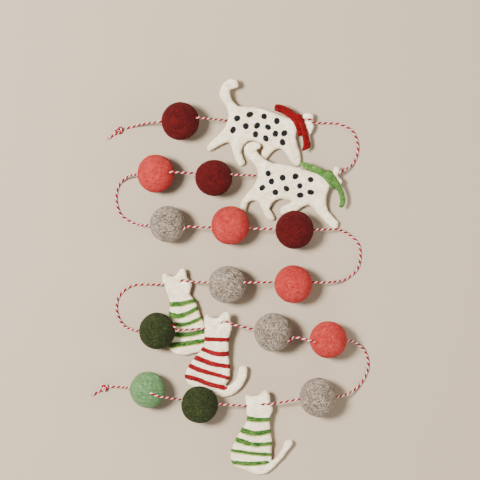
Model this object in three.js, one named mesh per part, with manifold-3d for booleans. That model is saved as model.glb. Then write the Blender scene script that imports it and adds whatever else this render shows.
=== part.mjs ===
// Felt garland: wool balls and flat felted cats threaded on one length of baker's twine, laid out on
// a table in six rows. Millimetres, +Z up, the table at z = 0, the origin under the middle of the
// balls and cats.
import * as THREE from "three";
import { mergeVertices } from "three/addons/utils/BufferGeometryUtils.js";
import Module from "manifold-3d";

const wasm = await Module();
wasm.setup();

// ---- Driving dimensions ----------------------------------------------------------------------

const TWINE_DIAMETER = 1.8;
const TWINE_SIDES = 8;
const THREADING_GAP = 0.3; // left all round the twine where it runs through wool
const BALL_FLAT_DEPTH = 0.5; // how far a ball is pressed flat where it rests
const BALL_DETAIL = 2; // subdivisions of the icosahedron that a ball starts from
const FELT_THICKNESS = 5; // of the flat cats
const RIM_ROUNDING = 1.5; // the cats' rims are rounded off this far, above and below
const POINTS_PER_STRETCH = 2; // of a cat's outline, between two of its listed points
const SCARF_THICKNESS = 2;
const SCARF_BACK_THICKNESS = 1.5; // thinner where the cat lies on it
const SCARF_GAP = 0.3; // between a scarf and the neck it goes round
const MERGE_DISTANCE = 1e-4; // vertices closer than this are one

const WOOL_COLORS = {
  dark_red: 0x6b1c20,
  coral: 0xcf6a5c,
  grey: 0xa49c96,
  dark_green: 0x3c4426,
  light_green: 0x8fb08c,
  white: 0xe4dccd,
  scarf_red: 0xb51d24,
  scarf_green: 0x4f8f3a,
  twine: 0xd07a78,
};

// ---- Balls: where each centre lies on the table, and how wide the ball is along X and Y -------

const BALLS = [
  { name: "ball_01_dark_red", wool: "dark_red", x: -46.5, y: 125, width: 30.4, length: 30.4 },
  { name: "ball_02_dark_red", wool: "dark_red", x: -19.5, y: 79.5, width: 29.8, length: 29 },
  { name: "ball_03_coral", wool: "coral", x: -66, y: 83, width: 29.8, length: 30.6 },
  { name: "ball_04_grey", wool: "grey", x: -56.5, y: 42.5, width: 29.2, length: 29.2 },
  { name: "ball_05_coral", wool: "coral", x: -6.5, y: 41.5, width: 30.8, length: 30.8 },
  { name: "ball_06_dark_red", wool: "dark_red", x: 45, y: 38, width: 30.6, length: 30.6 },
  { name: "ball_07_coral", wool: "coral", x: 44, y: -5.5, width: 30.4, length: 30.4 },
  { name: "ball_08_grey", wool: "grey", x: -8.5, y: -6, width: 30.6, length: 29.8 },
  { name: "ball_09_dark_green", wool: "dark_green", x: -65, y: -43, width: 29.2, length: 29.2 },
  { name: "ball_10_grey", wool: "grey", x: 28, y: -44, width: 30.8, length: 30.8 },
  { name: "ball_11_coral", wool: "coral", x: 72, y: -50, width: 29.8, length: 29.8 },
  { name: "ball_12_grey", wool: "grey", x: 63.5, y: -96, width: 29.4, length: 31.2 },
  { name: "ball_13_dark_green", wool: "dark_green", x: -31, y: -102, width: 29.6, length: 29.6 },
  { name: "ball_14_light_green", wool: "light_green", x: -72.5, y: -90, width: 28.8, length: 28.8 },
];

// ---- Cats: an outline on the table, [x, y], and the slope at which the cat lies, [along X, along Y].
// Each one lies on its feet or its base and is held up towards its back or head by the twine.

const CATS = [
  {
    name: "cat_walking_1",
    slope: [0, 0.1],
    outline: [
      // tail, from its tip down its inner side, and the back
      [-1, 157.5], [-0.5, 152.5], [-6.5, 151], [-6.5, 144], [-0.5, 137.5], [12.5, 136.5],
      [26, 133], [39, 128],
      // neck and head
      [46.5, 126.5], [50.6, 127], [52.5, 131], [56.5, 132], [60.5, 130], [59.5, 125],
      [60.5, 121], [57.5, 114.5], [55, 118.5], [50, 119], [47.6, 118.5],
      // chest, front feet, belly
      [46.5, 111.5], [49.5, 99.5], [50, 92], [47, 89], [42.5, 93.5], [37.5, 101], [32.5, 104],
      [27, 101], [20, 92.5], [17, 94], [20, 104], [15.5, 109], [7.5, 109],
      // hind feet and rump
      [2, 100], [5.5, 92], [1.5, 89.5], [-3.5, 98], [-7, 108.5], [-15.5, 106], [-23.5, 101.5],
      [-25, 105], [-19, 111.5], [-11, 120], [-7.5, 129.5],
      // outer side of the tail
      [-10, 137.5], [-15, 146], [-13, 154.5], [-6, 159],
    ],
  },
  {
    name: "cat_walking_2",
    slope: [0.018, 0.125],
    outline: [
      // tail, from its tip down its inner side, and the back
      [17.4, 107], [17.2, 103.6], [14, 102.2], [16.5, 98.8], [21.5, 94.5], [27, 91.5], [42, 89.5],
      [60.5, 84],
      // neck and head
      [69.5, 82.2], [74.2, 82.2], [76, 85.5], [78, 88.8], [81.5, 87], [79.8, 81], [83.5, 77.5],
      [82.5, 74.4], [78.5, 74.8], [74.8, 74.4],
      // chest, front feet, belly
      [72, 69], [70.5, 63], [72, 53], [80.5, 44], [78.5, 38], [73.5, 41], [63.5, 52],
      [56.5, 58.5], [48.5, 54.5], [41.5, 50], [34.5, 50.5], [35, 56], [43.5, 60.5], [36, 63],
      // hind feet and rump
      [29.5, 62], [25, 55], [29.5, 47.5], [27, 45.5], [21.5, 49.5], [17.5, 59], [13.5, 62],
      [7.5, 60], [5.5, 52.5], [1, 56], [4.5, 64], [11.5, 72], [16, 82.5],
      // outer side of the tail
      [13, 91], [6, 98], [5, 104], [9, 108], [14, 108.4],
    ],
  },
  {
    name: "cat_sitting_1",
    slope: [0, 0.06],
    outline: [
      // ears, cheek and right flank
      [-61.2, 0.4], [-58.9, 2.8], [-55.9, 1.3], [-52.6, 0.4], [-49.7, 1.9], [-47, 6],
      [-43.2, 6.6], [-41.5, 0], [-37.5, -6.5], [-39.5, -13.5], [-35, -19], [-31, -30],
      [-27, -38], [-24.5, -48.5], [-25.5, -53],
      // tail, under the next cat, and base
      [-22.5, -51], [-19.5, -45.5], [-17, -38], [-14.5, -36], [-12.5, -38.5], [-15, -47.5],
      [-20.5, -55], [-28.5, -59.5], [-37, -62], [-46, -63], [-53.5, -60],
      // left flank
      [-56.5, -55], [-53, -43], [-55.5, -29], [-54.5, -23], [-56, -15.5], [-60, -6],
    ],
  },
  {
    name: "cat_sitting_2",
    slope: [0, 0.15],
    outline: [
      // ears, cheek and right flank
      [-27.2, -32.4], [-25.2, -29.9], [-22.6, -31.9], [-19.4, -33], [-15.6, -32.3],
      [-12.6, -28.9], [-9.9, -27.8], [-7, -29.6], [-6.3, -34.6], [-5.2, -41.5], [-7.8, -48.6],
      [-8, -64], [-7, -74], [-8, -82.5], [-10.5, -88],
      // tail and base
      [-6, -87], [-2, -83], [0, -75.5], [1.5, -72], [6.5, -72], [7, -78], [4, -86], [-2, -93],
      [-10, -96.5], [-16.5, -95.5], [-21.5, -92.5], [-28.5, -91], [-34.5, -89.5], [-40.5, -86],
      // left flank
      [-43, -80], [-40.5, -73], [-35.5, -65.5], [-28, -55.5], [-27, -48], [-27, -38],
    ],
  },
  {
    name: "cat_sitting_3",
    slope: [0, 0.1],
    outline: [
      // ears, cheek and right flank
      [6.2, -94.7], [11.5, -95.8], [16.4, -95.3], [18.8, -92.7], [21.7, -90.8], [24.4, -92.6],
      [25.5, -96.4], [25.7, -100.4], [27.7, -106], [25.3, -112], [25, -120.5], [27, -132.5],
      [26.5, -148],
      // tail and base
      [31, -145], [35.5, -138], [38, -132], [41.5, -131], [43.5, -133.5], [39.5, -140],
      [32, -149.5], [23.5, -157.5], [15.5, -159], [5.5, -155.5], [-3, -152],
      // left flank
      [-6, -145.5], [-5, -138], [1.5, -124.5], [7, -115.5], [7, -107], [6, -100],
    ],
  },
];

// ---- Scarves: the strip that shows on the cat, the places where it turns over the upper and the
// lower edge of the neck, and the stretch behind the neck, all as outlines on the table ----------

const SCARVES = [
  {
    name: "scarf_red",
    wool: "scarf_red",
    cat: "cat_walking_1",
    front: [
      [28.2, 135.6], [33.6, 137.5], [38.2, 135.2], [46, 131.4], [50.4, 131.2], [51.6, 127.6],
      [53.5, 122.2], [55.8, 116.1], [57.3, 110.7], [58.5, 106.5], [53.8, 102.3], [52.3, 105.4],
      [51.9, 113], [47.8, 115.3], [47.8, 119.1], [45.8, 123], [42.8, 126], [36.6, 129.1],
      [30.6, 133.7],
    ],
    upperTurn: [[46.3, 127.6], [50, 127.9], [50.4, 131.2], [46.3, 131.2]],
    lowerTurn: [[48.6, 113.6], [52.2, 113.2], [52.6, 118.1], [48.8, 118.1]],
    back: [[48.6, 113.6], [52.2, 113.2], [50.4, 131.2], [46.3, 131.2]],
  },
  {
    name: "scarf_green",
    wool: "scarf_green",
    cat: "cat_walking_2",
    front: [
      [49.9, 92.7], [54.5, 91.5], [60.6, 88.4], [67.4, 85.7], [70.8, 86.3], [74.2, 86.1],
      [75.9, 82.6], [78.4, 77.8], [82.6, 71.6], [85.1, 66.1], [84.5, 58.7], [82, 55.4],
      [79.9, 56.6], [81.4, 61.8], [80.8, 66.1], [77.8, 70.2], [75.4, 70.4], [73.4, 76.5],
      [71, 79.6], [63.7, 83.2], [57.5, 85.7], [50.8, 89.4],
    ],
    upperTurn: [[70.6, 83.1], [73.8, 83.2], [74.2, 86.1], [70.8, 86.3]],
    lowerTurn: [[75.8, 70.4], [79, 70.4], [78.4, 73.7], [75.4, 73.7]],
    back: [[75.8, 70.4], [79, 70.4], [74.2, 86.1], [70.8, 86.3]],
  },
];

// ---- Twine: its centre line from one free end to the other, [x, y, z] --------------------------

const TWINE_ROUTE = [
  // first row: free end, dark red ball, walking cat
  [-102.5, 117, 0.95], [-93, 119, 0.95], [-84.5, 121.5, 2.2], [-74.5, 123.5, 8],
  [-61.5, 124.5, 14.6], [-34, 127.5, 22.5], [-9.5, 126, 6],
  [47, 123, 5.9], [53.5, 126.5, 8.1], [58, 126.5, 8.1], [60.5, 124.5, 6.6],
  // turn at the right, along the table
  [71, 124, 2.4], [82, 123, 0.95], [92.5, 117, 0.95], [96.5, 104, 0.95], [92.5, 91.5, 1.5],
  // second row: walking cat, dark red ball, coral ball
  [81, 83.8, 8.1], [74, 79.2, 7.4], [16, 81.5, 6.6], [-5.5, 82, 18.8], [-33, 83, 16.5],
  [-55, 84, 25.3], [-81, 82.5, 13.5],
  // turn at the left
  [-88.5, 81, 6], [-96, 74.5, 1], [-98.5, 62.5, 0.95], [-94.5, 50, 0.95], [-83.5, 43, 3],
  // third row: grey, coral and dark red balls
  [-71, 41.5, 13.8], [-44.5, 38.5, 21], [-41, 40.5, 17.5], [-22, 40, 15], [8.5, 39, 15],
  [30, 38.5, 15], [60.5, 38, 15],
  // turn at the right, over the walking cat's front foot
  [79, 38.5, 7.2], [89.5, 34, 1.3], [97.5, 25, 0.95], [96.5, 7.5, 0.95],
  [87, -1.5, 1.3], [73.5, -4, 9],
  // fourth row: coral ball, grey ball, sitting cat
  [59, -4, 14.8], [29, -4, 14.8], [4, -4, 22.2], [-24, -4, 14.5],
  [-40, -3.5, 9.9], [-44, -2.5, 8.6], [-49.5, -4, 6.2], [-61, -6, 5.8],
  // turn at the left
  [-72.5, -6, 1.3], [-86.5, -7.5, 0.95], [-96.5, -16, 0.95], [-98, -28, 0.95],
  [-92.5, -39, 2.5],
  // fifth row: dark green ball, sitting cat, grey ball, coral ball
  [-79.5, -43, 13.2], [-52, -38.5, 19.3], [-49, -42.5, 15.8], [-27, -41, 10.6],
  [-17, -37.5, 11.5], [-10, -35.5, 14], [-5.5, -37.5, 14.9], [13, -42, 15.1], [40, -51, 21.4],
  [44.5, -48, 18.8], [60, -51, 23.7], [86.5, -50.5, 13.5],
  // turn at the right
  [95, -53, 6], [103, -62, 0.95], [104.5, -74, 0.95], [98, -87, 1.2], [87.5, -94, 7],
  // sixth row: grey ball, sitting cat, dark green ball, light green ball, free end
  [78, -96, 13.5], [49, -97.5, 14.9], [27.5, -101.5, 11.9], [22, -102, 10.5],
  [15, -102.5, 8.4], [6, -103.5, 7.9], [-16.5, -101.5, 14.4], [-45.5, -98, 15],
  [-61, -95, 24.6], [-66, -93.5, 27.6], [-69, -92, 28.4], [-87, -89, 12.5], [-94.5, -88.5, 4],
  [-104.5, -89, 0.95], [-114.5, -90, 0.95],
];

// ---- Shapes --------------------------------------------------------------------------------------

// A curve through the route's points, with the twine's sections on those points themselves.
class Route extends THREE.CatmullRomCurve3 {
  constructor(points) {
    super(points.map(([x, y, z]) => new THREE.Vector3(x, y, z)), false, "centripetal");
  }

  getUtoTmapping(u) {
    return u;
  }
}

function tubeAlong(route, radius) {
  const section = new THREE.Shape().absarc(0, 0, radius, 0, 2 * Math.PI);
  return new THREE.ExtrudeGeometry(section, {
    steps: route.points.length - 1,
    curveSegments: TWINE_SIDES / 2, // three.js doubles this on an arc
    extrudePath: route,
  });
}

function plate(outline, bottom, top) {
  const shape = new THREE.Shape(outline.map(([x, y]) => new THREE.Vector2(x, y)));
  const geometry = new THREE.ExtrudeGeometry(shape, { depth: top - bottom, bevelEnabled: false });
  return geometry.translate(0, 0, bottom);
}

// Raises each point by the height of a plane with the given slope.
function leaned(geometry, [alongX, alongY]) {
  const lean = new THREE.Matrix4().set(
    1, 0, 0, 0,
    0, 1, 0, 0,
    alongX, alongY, 1, 0,
    0, 0, 0, 1,
  );
  return geometry.applyMatrix4(lean);
}

function catBody(outline) {
  const corners = outline.map(([x, y]) => new THREE.Vector3(x, y, 0));
  const rim = new THREE.CatmullRomCurve3(corners, true, "centripetal");
  const rimPoints = rim.getPoints(corners.length * POINTS_PER_STRETCH).slice(1);
  const shape = new THREE.Shape(rimPoints.map(({ x, y }) => new THREE.Vector2(x, y)));
  const geometry = new THREE.ExtrudeGeometry(shape, {
    depth: FELT_THICKNESS - 2 * RIM_ROUNDING,
    bevelThickness: RIM_ROUNDING,
    bevelSize: RIM_ROUNDING,
    bevelOffset: -RIM_ROUNDING,
    bevelSegments: 1,
  });
  return geometry.translate(0, 0, RIM_ROUNDING);
}

// The height of a leaning cat's lowest point, which is set down on the table.
function lowestPoint(geometry) {
  geometry.computeBoundingBox();
  return geometry.boundingBox.min.z;
}

// ---- Booleans ------------------------------------------------------------------------------------

function solidFrom(geometry) {
  const bare = geometry.clone();
  bare.deleteAttribute("normal");
  bare.deleteAttribute("uv");
  const merged = mergeVertices(bare, MERGE_DISTANCE);
  return new wasm.Manifold(
    new wasm.Mesh({
      numProp: 3,
      vertProperties: new Float32Array(merged.attributes.position.array),
      triVerts: new Uint32Array(merged.index.array),
    }),
  );
}

function geometryFrom(solid) {
  const { vertProperties, triVerts } = solid.getMesh();
  const geometry = new THREE.BufferGeometry();
  geometry.setAttribute("position", new THREE.BufferAttribute(vertProperties, 3));
  geometry.setIndex(new THREE.BufferAttribute(triVerts, 1));
  geometry.computeVertexNormals();
  return geometry;
}

// ---- Assembly ------------------------------------------------------------------------------------

const route = new Route(TWINE_ROUTE);
const twineRadius = TWINE_DIAMETER / 2;
const bore = solidFrom(tubeAlong(route, twineRadius + THREADING_GAP));

const TABLE_SIZE = 400;
const table = solidFrom(
  new THREE.BoxGeometry(TABLE_SIZE, TABLE_SIZE, TABLE_SIZE).translate(0, 0, -TABLE_SIZE / 2),
);

const garland = new THREE.Group();
garland.name = "felt_garland";

function addPiece(name, wool, geometry) {
  const material = new THREE.MeshStandardMaterial({
    color: WOOL_COLORS[wool],
    roughness: 0.95,
    metalness: 0,
  });
  const mesh = new THREE.Mesh(geometry, material);
  mesh.name = name;
  garland.add(mesh);
}

function ballSolid({ x, y, width, length }) {
  const height = (width + length) / 2;
  const geometry = new THREE.IcosahedronGeometry(1, BALL_DETAIL);
  geometry.scale(width / 2, length / 2, height / 2);
  geometry.translate(x, y, height / 2 - BALL_FLAT_DEPTH);
  return solidFrom(geometry).subtract(table).subtract(bore);
}

function scarfSolid(scarf, slope, drop) {
  const frontBottom = FELT_THICKNESS + SCARF_GAP;
  const frontTop = frontBottom + SCARF_THICKNESS;
  const backTop = -SCARF_GAP;
  const backBottom = backTop - SCARF_BACK_THICKNESS;
  const strips = [
    plate(scarf.front, frontBottom, frontTop),
    plate(scarf.upperTurn, backBottom, frontTop),
    plate(scarf.lowerTurn, backBottom, frontTop),
    plate(scarf.back, backBottom, backTop),
  ];
  return strips
    .map((strip) => solidFrom(leaned(strip, slope).translate(0, 0, -drop)))
    .reduce((whole, strip) => whole.add(strip))
    .subtract(bore);
}

for (const ball of BALLS) {
  addPiece(ball.name, ball.wool, geometryFrom(ballSolid(ball)));
}

for (const cat of CATS) {
  const body = leaned(catBody(cat.outline), cat.slope);
  const drop = lowestPoint(body);
  body.translate(0, 0, -drop);
  addPiece(cat.name, "white", geometryFrom(solidFrom(body).subtract(bore)));
  for (const scarf of SCARVES.filter((each) => each.cat === cat.name)) {
    addPiece(scarf.name, scarf.wool, geometryFrom(scarfSolid(scarf, cat.slope, drop)));
  }
}

addPiece("twine", "twine", tubeAlong(route, twineRadius));

export default garland;
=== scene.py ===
"""The looks of a felt garland: felted wool balls, flat felted cats and their scarves on one baker's twine.

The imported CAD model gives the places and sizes. Tables in millimetres say so by ending in _MM, and
everything that reaches Blender is in metres.
"""

import math

import bpy
import numpy as np
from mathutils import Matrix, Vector, noise
from mathutils.bvhtree import BVHTree
from mathutils.kdtree import KDTree
from numpy.linalg import norm


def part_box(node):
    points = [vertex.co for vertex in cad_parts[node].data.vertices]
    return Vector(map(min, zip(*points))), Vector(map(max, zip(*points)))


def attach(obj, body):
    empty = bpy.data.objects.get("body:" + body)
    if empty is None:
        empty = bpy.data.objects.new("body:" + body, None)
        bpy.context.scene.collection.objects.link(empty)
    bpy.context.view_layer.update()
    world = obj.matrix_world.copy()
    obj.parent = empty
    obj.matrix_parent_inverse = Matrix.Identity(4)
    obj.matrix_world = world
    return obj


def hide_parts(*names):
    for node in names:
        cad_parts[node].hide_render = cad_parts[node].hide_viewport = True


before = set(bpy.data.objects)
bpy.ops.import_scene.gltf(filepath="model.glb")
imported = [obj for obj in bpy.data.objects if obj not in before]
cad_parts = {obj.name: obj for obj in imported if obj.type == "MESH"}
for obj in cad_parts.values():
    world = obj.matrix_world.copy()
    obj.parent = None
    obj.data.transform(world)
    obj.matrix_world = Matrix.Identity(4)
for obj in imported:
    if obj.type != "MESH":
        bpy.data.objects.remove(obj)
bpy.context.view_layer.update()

MM = 0.001

# ---- Twine: the route of part.mjs, in metres ----

TWINE_DIAMETER = 1.8 * MM
TWINE_PITCH = 4.9 * MM  # one full turn of the plies about each other
TWINE_STEP = 0.55 * MM
PLIES = 4  # two red ones side by side and two white ones
YARN_TURN = 1.6 * MM  # a turn of the three fine yarns in each ply
RED_LEAD = 0.42  # how far round, in radians, the fuller red plies push the white ones
STRAIGHT_FROM = 18 * MM  # a longer stretch runs straight through wool, or taut from piece to piece
CORNER_ROOM = 4 * MM  # how near a straight stretch's ends its curve turns
LOWEST_TWINE = 0.93 * MM  # of the centre line, just over half a diameter
KNOT_SIZE = 1.15 * MM
KNOT_LIFT = 0.9 * MM
KNOT_TAIL = 7 * MM
FRAYS = 26  # of each colour at a cut end

TWINE_ROUTE = [
    # first row: free end, dark red ball, walking cat
    (-0.1025, 0.117, 0.00095), (-0.093, 0.119, 0.00095), (-0.0845, 0.1215, 0.0022),
    (-0.0745, 0.1235, 0.008), (-0.0615, 0.1245, 0.0146), (-0.034, 0.1275, 0.0225),
    (-0.0095, 0.126, 0.006), (0.047, 0.123, 0.0059), (0.0535, 0.1265, 0.0081),
    (0.058, 0.1265, 0.0081), (0.0605, 0.1245, 0.0066),
    # turn at the right, along the table
    (0.071, 0.124, 0.0024), (0.082, 0.123, 0.00095), (0.0925, 0.117, 0.00095),
    (0.0965, 0.104, 0.00095), (0.0925, 0.0915, 0.0015),
    # second row: walking cat, dark red ball, coral ball
    (0.081, 0.0838, 0.0081), (0.074, 0.0792, 0.0074), (0.016, 0.0815, 0.0066),
    (-0.0055, 0.082, 0.0188), (-0.033, 0.083, 0.0165), (-0.055, 0.084, 0.0253),
    (-0.081, 0.0825, 0.0135),
    # turn at the left
    (-0.0885, 0.081, 0.006), (-0.096, 0.0745, 0.001), (-0.0985, 0.0625, 0.00095),
    (-0.0945, 0.05, 0.00095), (-0.0835, 0.043, 0.003),
    # third row: grey, coral and dark red balls
    (-0.071, 0.0415, 0.0138), (-0.0445, 0.0385, 0.021), (-0.041, 0.0405, 0.0175),
    (-0.022, 0.04, 0.015), (0.0085, 0.039, 0.015), (0.03, 0.0385, 0.015), (0.0605, 0.038, 0.015),
    # turn at the right, over the walking cat's front foot
    (0.079, 0.0385, 0.0072), (0.0895, 0.034, 0.0013), (0.0975, 0.025, 0.00095),
    (0.0965, 0.0075, 0.00095), (0.087, -0.0015, 0.0013), (0.0735, -0.004, 0.009),
    # fourth row: coral ball, grey ball, sitting cat
    (0.059, -0.004, 0.0148), (0.029, -0.004, 0.0148), (0.004, -0.004, 0.0222),
    (-0.024, -0.004, 0.0145), (-0.04, -0.0035, 0.0099), (-0.044, -0.0025, 0.0086),
    (-0.0495, -0.004, 0.0062), (-0.061, -0.006, 0.0058),
    # turn at the left
    (-0.0725, -0.006, 0.0013), (-0.0865, -0.0075, 0.00095), (-0.0965, -0.016, 0.00095),
    (-0.098, -0.028, 0.00095), (-0.0925, -0.039, 0.0025),
    # fifth row: dark green ball, sitting cat, grey ball, coral ball
    (-0.0795, -0.043, 0.0132), (-0.052, -0.0385, 0.0193), (-0.049, -0.0425, 0.0158),
    (-0.027, -0.041, 0.0106), (-0.017, -0.0375, 0.0115), (-0.01, -0.0355, 0.014),
    (-0.0055, -0.0375, 0.0149), (0.013, -0.042, 0.0151), (0.04, -0.051, 0.0214),
    (0.0445, -0.048, 0.0188), (0.06, -0.051, 0.0237), (0.0865, -0.0505, 0.0135),
    # turn at the right
    (0.095, -0.053, 0.006), (0.103, -0.062, 0.00095), (0.1045, -0.074, 0.00095),
    (0.098, -0.087, 0.0012), (0.0875, -0.094, 0.007),
    # sixth row: grey ball, sitting cat, dark green ball, light green ball, free end
    (0.078, -0.096, 0.0135), (0.049, -0.0975, 0.0149), (0.0275, -0.1015, 0.0119),
    (0.022, -0.102, 0.0105), (0.015, -0.1025, 0.0084), (0.006, -0.1035, 0.0079),
    (-0.0165, -0.1015, 0.0144), (-0.0455, -0.098, 0.015), (-0.061, -0.095, 0.0246),
    (-0.066, -0.0935, 0.0276), (-0.069, -0.092, 0.0284), (-0.087, -0.089, 0.0125),
    (-0.0945, -0.0885, 0.004), (-0.1045, -0.089, 0.00095), (-0.1145, -0.09, 0.00095),
]

# ---- Colours of the wools and yarns, sRGB from 0 to 255 ----


def srgb(*channels):
    """A Blender colour, linear with alpha, from sRGB channels."""
    shares = [c / 255 for c in channels]
    return (*[s / 12.92 if s <= 0.04045 else ((s + 0.055) / 1.055) ** 2.4 for s in shares], 1.0)


# Each wool: its dark, usual and light fibres, how far they differ, the swirls (their size, and the
# lines across it), the curls (the same), how much each of these, the long fibres, the fine ones,
# the grain and the clouds count, and how much bigger than usual the fibres are. The needled stripes
# are alike in most of this, and so are the scarves' strips.
NEEDLED = dict(swirl=(5, 6), curl=(2.4, 4), shares=(0.1, 0.15, 0.3, 0.4, 0.4, 0.5))
STRIP = dict(swirl=(6, 6), curl=(2.8, 4), shares=(0.15, 0.12, 0.3, 0.4, 0.35, 0.4))
WOOLS = {
    "dark_red": dict(tones=[(34, 3, 4), (62, 5, 6), (98, 17, 18)],
                     swirl=(16, 12), shares=(0.12, 0.1, 0.35, 0.45, 0.35, 0.4)),
    "coral": dict(tones=[(118, 24, 22), (149, 40, 37), (184, 72, 66)], contrast=0.95,
                  swirl=(16, 12), shares=(0.12, 0.08, 0.3, 0.45, 0.3, 0.4)),
    "grey": dict(tones=[(54, 45, 39), (106, 92, 78), (174, 161, 146)],
                 swirl=(9, 8), curl=(3.4, 4), shares=(0.14, 0.26, 0.4, 0.45, 0.3, 0.3), coarse=1.25),
    "dark_green": dict(tones=[(13, 18, 6), (28, 35, 13), (56, 64, 33)],
                       swirl=(18, 16), shares=(0.22, 0.08, 0.35, 0.45, 0.3, 0.3)),
    "light_green": dict(tones=[(50, 80, 46), (76, 109, 67), (128, 156, 112)],
                        swirl=(14, 12), shares=(0.12, 0.12, 0.35, 0.45, 0.3, 0.4)),
    "white": dict(tones=[(196, 176, 142), (238, 221, 186), (251, 243, 222)], contrast=1.3,
                  swirl=(12, 10), curl=(3.6, 3), shares=(0.0, 0.1, 0.3, 0.4, 0.35, 0.7)),
    "black": dict(tones=[(6, 6, 7), (15, 15, 17), (42, 42, 46)],
                  swirl=(4, 5), curl=(1.6, 4), shares=(0.1, 0.15, 0.3, 0.4, 0.4, 0.3)),
    "stripe_green": dict(tones=[(12, 52, 18), (30, 82, 28), (112, 136, 64)], contrast=1.4, **NEEDLED),
    "stripe_fringe": dict(tones=[(84, 104, 34), (138, 150, 64), (206, 206, 140)], contrast=1.4, **NEEDLED),
    "stripe_red": dict(tones=[(74, 2, 6), (110, 5, 13), (158, 36, 42)], contrast=1.1, **NEEDLED),
    "felt_red": dict(tones=[(62, 2, 5), (100, 3, 8), (142, 16, 20)], contrast=1.1, **STRIP),
    "felt_green": dict(tones=[(26, 62, 24), (64, 102, 42), (116, 148, 76)], contrast=1.2, **STRIP),
}
# The long and the fine fibres: their length and spacing, and the directions in which they lie.
LONG_FIBRES = (9, 1.1, [(0.4, 0.3, 0.5), (1.2, 0.8, 2.0), (2.3, 1.9, 3.4)])
FINE_FIBRES = (6, 0.5, [(0.9, 1.4, 0.2), (2.0, 0.5, 1.3), (0.2, 2.2, 2.6), (1.6, 2.9, 0.9)])
USUAL_PARTS = (0.5, 0.5, 0.6, 0.7, 0.5, 0.5)  # of the parts that those shares are of


class Shading:
    """A material under construction: adds nodes and links them, one call each."""

    def __init__(self, name):
        self.material = bpy.data.materials.new(name)
        self.material.use_nodes = True
        self.tree = self.material.node_tree
        self.surface = self.tree.nodes["Principled BSDF"]
        self.place = self.node("ShaderNodeTexCoord", {}).outputs["Object"]

    def node(self, kind, inputs, **settings):
        made = self.tree.nodes.new(kind)
        for key, value in settings.items():
            setattr(made, key, value)
        for socket, value in inputs.items():
            self.feed(made, socket, value)
        return made

    def feed(self, node, socket, value):
        if isinstance(value, bpy.types.NodeSocket):
            self.tree.links.new(value, node.inputs[socket])
        else:
            node.inputs[socket].default_value = value

    def math(self, operation, *values):
        return self.node(
            "ShaderNodeMath", dict(enumerate(values)), operation=operation
        ).outputs[0]

    def vector(self, operation, *values):
        return self.node(
            "ShaderNodeVectorMath", dict(enumerate(values)), operation=operation
        ).outputs[0]

    def noise(self, size, detail=2.0, place=None, output=0):
        """A noise whose cells are about size wide, as values or, at output 1, as vectors."""
        place = self.place if place is None else place
        inputs = {"Vector": place, "Scale": 1 / size, "Detail": detail}
        return self.node("ShaderNodeTexNoise", inputs).outputs[output]

    def lines(self, place, size, count):
        """Curling lines from 0 to 1: the contours of a noise, count of them across its range."""
        field = self.noise(size, detail=1.0, place=place)
        turns = self.math("MULTIPLY", field, count * 2 * math.pi)
        return self.math("MULTIPLY_ADD", self.math("SINE", turns), 0.5, 0.5)

    def fibres(self, place, long_mm, thin_mm, turns, coarse):
        """Long thin fibres from 0 to 1, that lie along some directions of space."""
        scale = [1 / (size * MM * coarse) for size in (long_mm, thin_mm, thin_mm)]
        found = 0.0
        for turn in turns:
            lengthened = self.node(
                "ShaderNodeMapping", {"Vector": place, "Rotation": turn, "Scale": scale}
            ).outputs[0]
            field = self.noise(1.0, detail=1.0, place=lengthened)
            away = self.math("ABSOLUTE", self.math("SUBTRACT", field, 0.5))
            line = self.node("ShaderNodeMapRange", {0: away, 1: 0.0, 2: 0.08, 3: 1.0, 4: 0.0})
            found = self.math("MAXIMUM", line.outputs[0], found)
        return found

    def ramp(self, value, stops):
        made = self.node("ShaderNodeValToRGB", {"Fac": value})
        elements = made.color_ramp.elements
        for element, (position, color) in zip(elements, (stops[0], stops[-1])):
            element.position, element.color = position, color
        for position, color in stops[1:-1]:
            elements.new(position).color = color
        return made.outputs[0]

    def finish(self, color, height, depth, sheen, sheen_tint):
        bump = self.node("ShaderNodeBump", {"Height": height, "Distance": depth, "Strength": 1.0})
        inputs = {
            "Base Color": color, "Normal": bump.outputs[0], "Roughness": 0.95,
            "Specular IOR Level": 0.15, "Sheen Weight": sheen, "Sheen Roughness": 0.45,
            "Sheen Tint": sheen_tint,
        }
        for socket, value in inputs.items():
            self.feed(self.surface, socket, value)
        return self.material


def wool_material(name, tones, swirl, shares, contrast=1.0, curl=(4.0, 4), coarse=1.0):
    """Felted wool: matted fibres of three tones, with swirls, curls, grain and clouds."""
    shading = Shading(name)
    drift = shading.noise(9 * MM, output=1)
    drift = shading.vector("SUBTRACT", drift, (0.5, 0.5, 0.5))
    bent = shading.node(
        "ShaderNodeVectorMath", {0: drift, 1: (7 * MM,) * 3, 2: shading.place}, operation="MULTIPLY_ADD"
    ).outputs[0]
    parts = [
        shading.lines(bent, swirl[0] * MM, swirl[1]),
        shading.lines(bent, curl[0] * MM, curl[1]),
        shading.fibres(bent, *LONG_FIBRES, coarse),
        shading.fibres(bent, *FINE_FIBRES, coarse),
        shading.noise(0.4 * MM, detail=3.0),
        shading.noise(6 * MM, detail=3.0),
    ]
    tone = 0.5 - contrast * float(np.dot(shares, USUAL_PARTS))
    height = 0.0
    for part, share in zip(parts, shares):
        tone = shading.math("MULTIPLY_ADD", part, share * contrast, tone)
    for part, share in zip(parts[:-1], shares):
        height = shading.math("MULTIPLY_ADD", part, share, height)
    dark, usual, light = (srgb(*t) for t in tones)
    color = shading.ramp(tone, [(0.12, dark), (0.5, usual), (0.88, light)])
    return shading.finish(color, height, 0.25 * MM, sheen=0.3, sheen_tint=light)


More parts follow.
